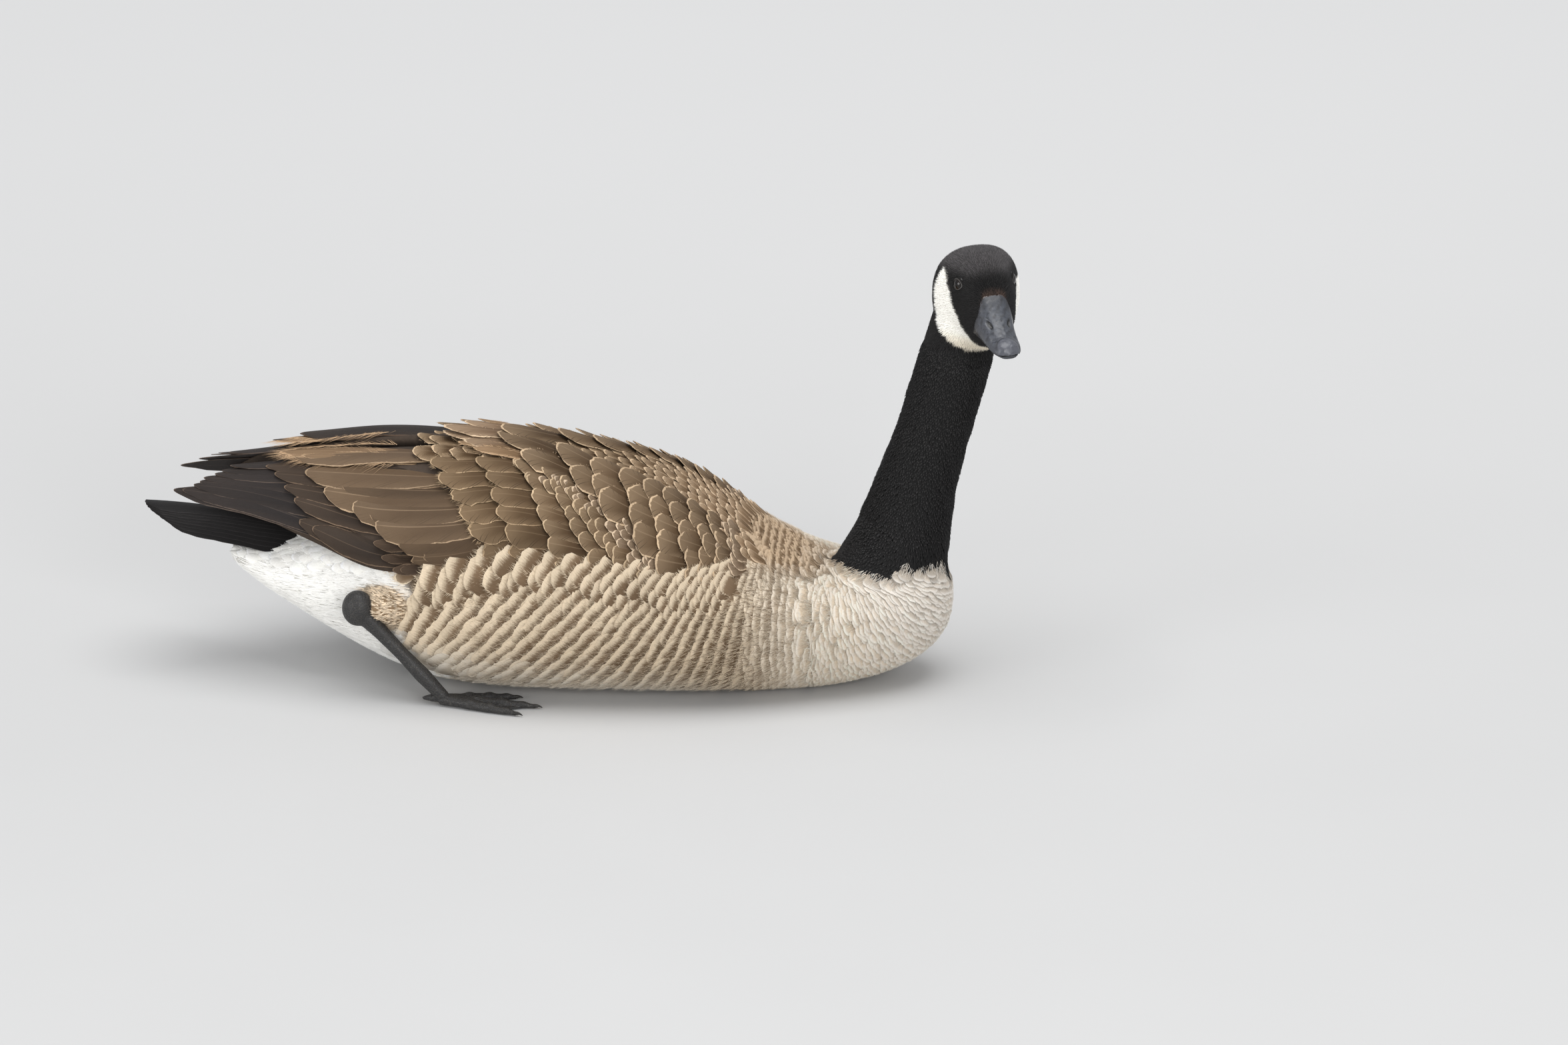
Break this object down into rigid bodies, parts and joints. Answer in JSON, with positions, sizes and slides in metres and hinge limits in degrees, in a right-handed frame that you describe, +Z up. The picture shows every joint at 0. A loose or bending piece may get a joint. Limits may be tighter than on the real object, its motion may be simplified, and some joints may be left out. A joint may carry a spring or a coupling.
{
  "type": "canada goose model",
  "caption": "Life-size still model of a Canada goose resting on its belly, neck raised and head turned to its right, wings folded.",
  "frame": {"origin": "on the floor, at the centre of the base of the whole model's box", "axes": "+X towards the breast, +Z up, the goose's right side at -Y"},
  "size_m": [0.6612, 0.2112, 0.3476],
  "materials": {
    "black_plumage": "short soft black feathers with a white cheek band",
    "body_plumage": "matte buff feathers with pale edges, white towards the tail",
    "wing_plumage": "brown vanes with pale edges, blackish flight feathers",
    "tail_plumage": "black vanes with a faint sheen",
    "bill_horn": "satin black-grey horn",
    "leg_skin": "scaled black skin",
    "shank_down": "short tan downy feathers",
    "eye": "wet dark brown"
  },
  "bodies": {
    "root": {"torso": "body_plumage", "neck": "black_plumage", "head": "black_plumage", "bill_upper": "bill_horn", "bill_lower": "bill_horn", "eye_left": "eye", "eye_right": "eye", "wing_left": "wing_plumage", "wing_right": "wing_plumage", "tail": "tail_plumage", "shank_left": "shank_down", "shank_right": "shank_down", "tarsus_left": "leg_skin", "tarsus_right": "leg_skin", "foot_left": "leg_skin", "foot_right": "leg_skin"}
  },
  "joints": []
}
